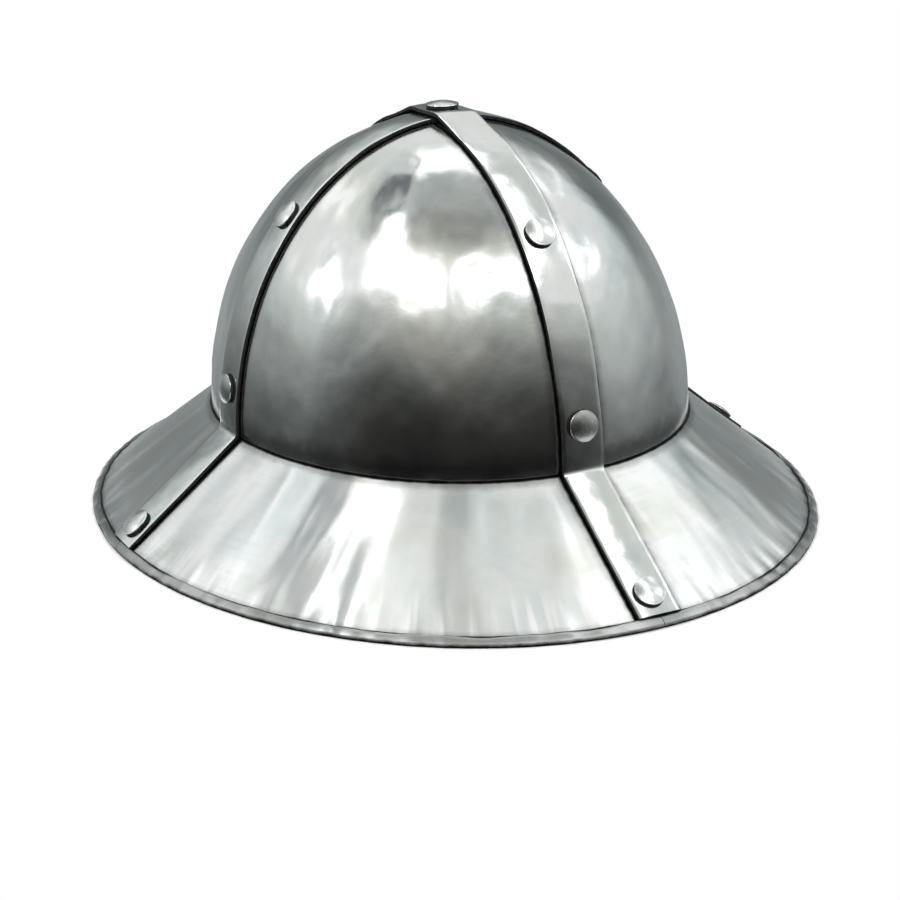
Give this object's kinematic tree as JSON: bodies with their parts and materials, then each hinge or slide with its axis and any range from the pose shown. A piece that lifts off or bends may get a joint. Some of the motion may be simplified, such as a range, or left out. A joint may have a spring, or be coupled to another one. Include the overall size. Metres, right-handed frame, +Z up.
{
  "type": "kettle hat",
  "caption": "Steel kettle hat with a domed skull in quarters, a sloping brim with a turned hem, two crossed riveted bands, a leather liner and a buckled chin strap.",
  "frame": {"origin": "centre of the hat's base, on the surface that the edge of the brim stands on", "axes": "+Z up, front of the hat towards -Y, wearer's left towards +X"},
  "size_m": [0.332, 0.3734, 0.1843],
  "materials": {
    "skull_steel": "polished, faint planishing",
    "brim_steel": "polished with fine brushing",
    "band_steel": "polished with fine brushing",
    "rivet_steel": "polished",
    "washer_steel": "plain",
    "liner_leather": "vegetable tanned, undyed",
    "strap_leather": "waxed dark brown",
    "buckle_steel": "polished"
  },
  "bodies": {
    "helmet": {"skull_front_left": "skull_steel", "skull_front_right": "skull_steel", "skull_rear_left": "skull_steel", "skull_rear_right": "skull_steel", "brim_front_left": "brim_steel", "brim_front_right": "brim_steel", "brim_rear_left": "brim_steel", "brim_rear_right": "brim_steel", "band_side_to_side": "band_steel", "band_front_to_back": "band_steel", "rivet_crown": "rivet_steel", "rivet_front_upper": "rivet_steel", "rivet_rear_upper": "rivet_steel", "rivet_left_upper": "rivet_steel", "rivet_right_upper": "rivet_steel", "rivet_front_lower": "rivet_steel", "rivet_rear_lower": "rivet_steel", "rivet_left_lower": "rivet_steel", "rivet_right_lower": "rivet_steel", "rivet_front_brim": "rivet_steel", "rivet_rear_brim": "rivet_steel", "rivet_left_brim": "rivet_steel", "rivet_right_brim": "rivet_steel", "washer_front": "washer_steel", "washer_rear": "washer_steel", "washer_left": "washer_steel", "washer_right": "washer_steel", "spacer_left": "washer_steel", "spacer_right": "washer_steel", "liner_band": "liner_leather", "liner_tongue_1": "liner_leather", "liner_tongue_2": "liner_leather", "liner_tongue_3": "liner_leather", "liner_tongue_4": "liner_leather", "liner_tongue_5": "liner_leather", "liner_tongue_6": "liner_leather", "liner_tongue_7": "liner_leather", "liner_tongue_8": "liner_leather", "liner_crown_patch": "liner_leather"},
    "strap_left": {"strap_left": "strap_leather", "strap_keeper": "strap_leather"},
    "strap_right": {"strap_right": "strap_leather"},
    "buckle": {"buckle_frame": "buckle_steel"},
    "prong": {"buckle_prong": "buckle_steel"}
  },
  "joints": [
    {"name": "strap_left_swivel", "type": "hinge", "parent": "helmet", "child": "strap_left", "pos_m": [0.10911, 0, 0.0665], "axis": [0.9917, 0, 0.1284], "range_deg": [-30, 30]},
    {"name": "strap_right_swivel", "type": "hinge", "parent": "helmet", "child": "strap_right", "pos_m": [-0.10911, 0, 0.0665], "axis": [-0.9917, 0, 0.1284], "range_deg": [-30, 30]},
    {"name": "buckle_hinge", "type": "hinge", "parent": "strap_left", "child": "buckle", "pos_m": [0.038, 0, 0.00477], "axis": [0, 1, 0], "range_deg": [0, 45]},
    {"name": "prong_hinge", "type": "hinge", "parent": "buckle", "child": "prong", "pos_m": [0.038, 0, 0.00477], "axis": [0, 1, 0], "range_deg": [0, 90]}
  ]
}
